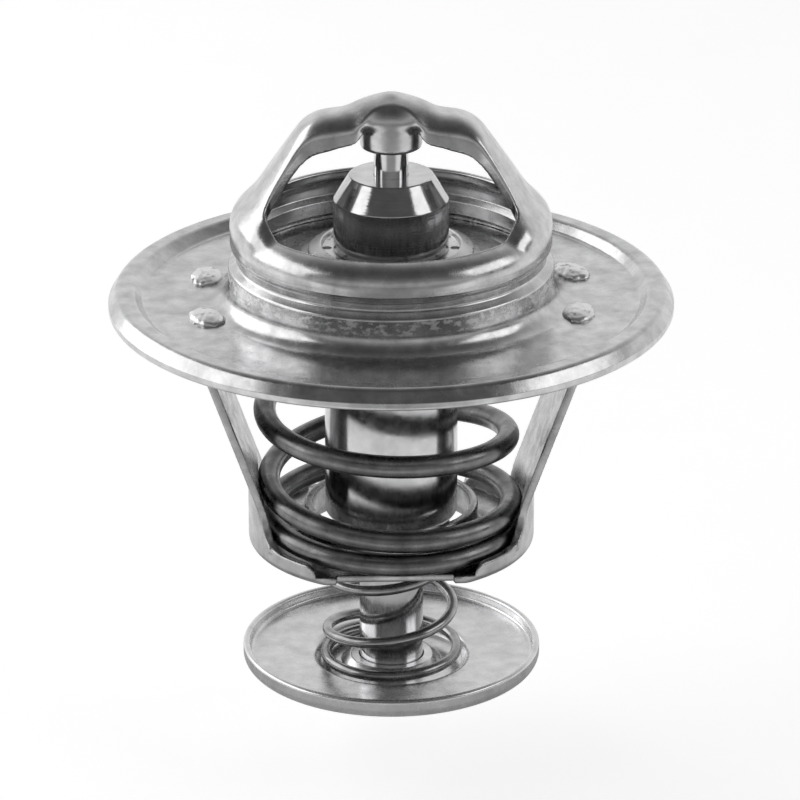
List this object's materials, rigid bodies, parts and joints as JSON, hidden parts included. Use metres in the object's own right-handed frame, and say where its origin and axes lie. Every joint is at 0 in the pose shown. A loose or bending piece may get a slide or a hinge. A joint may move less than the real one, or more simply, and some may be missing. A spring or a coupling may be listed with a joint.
{
  "type": "engine thermostat",
  "caption": "Wax-element coolant valve: a flanged dome with an arched bridge, a sprung valve plate on a wax element, a strap frame below and a sprung bypass disc.",
  "frame": {"origin": "middle of the underside of the bypass disc's well, the lowest point", "axes": "+Z along the axis of the valve towards the bridge, +X along the bridge strap"},
  "size_m": [0.054, 0.054, 0.059],
  "materials": {
    "body_steel": "pressed stainless sheet, drawn and lightly polished",
    "frame_steel": "bent stainless sheet",
    "disc_steel": "pressed stainless sheet, satin",
    "plate_steel": "pressed sheet, dull",
    "spring_steel": "drawn spring wire, dark",
    "thin_spring_steel": "drawn spring wire",
    "polished_rod": "ground and polished",
    "turned_metal": "turned, fine rings",
    "case_metal": "drawn and bright",
    "rubber": "moulded",
    "washer_plastic": "cut sheet",
    "wax": "waxy"
  },
  "bodies": {
    "housing": {"valve_body": "body_steel", "lower_frame": "frame_steel", "piston": "polished_rod", "main_spring": "spring_steel"},
    "element": {"element_case": "case_metal", "element_guide": "turned_metal", "anti_extrusion_washer": "washer_plastic", "rubber_boot": "rubber", "wax_charge": "wax", "poppet_plate": "plate_steel", "bypass_stem": "polished_rod", "bypass_spring": "thin_spring_steel"},
    "disc": {"bypass_disc": "disc_steel"}
  },
  "joints": [
    {"name": "valve_lift", "type": "slide", "parent": "housing", "child": "element", "axis": [0, 0, -1], "range_m": [0, 0.008], "stiffness_N_per_m": 4000, "springref_m": -0.012, "deforming": ["main_spring"]},
    {"name": "bypass_slide", "type": "slide", "parent": "element", "child": "disc", "axis": [0, 0, 1], "range_m": [0, 0.004], "stiffness_N_per_m": 1500, "springref_m": -0.006, "deforming": ["bypass_spring"]}
  ]
}
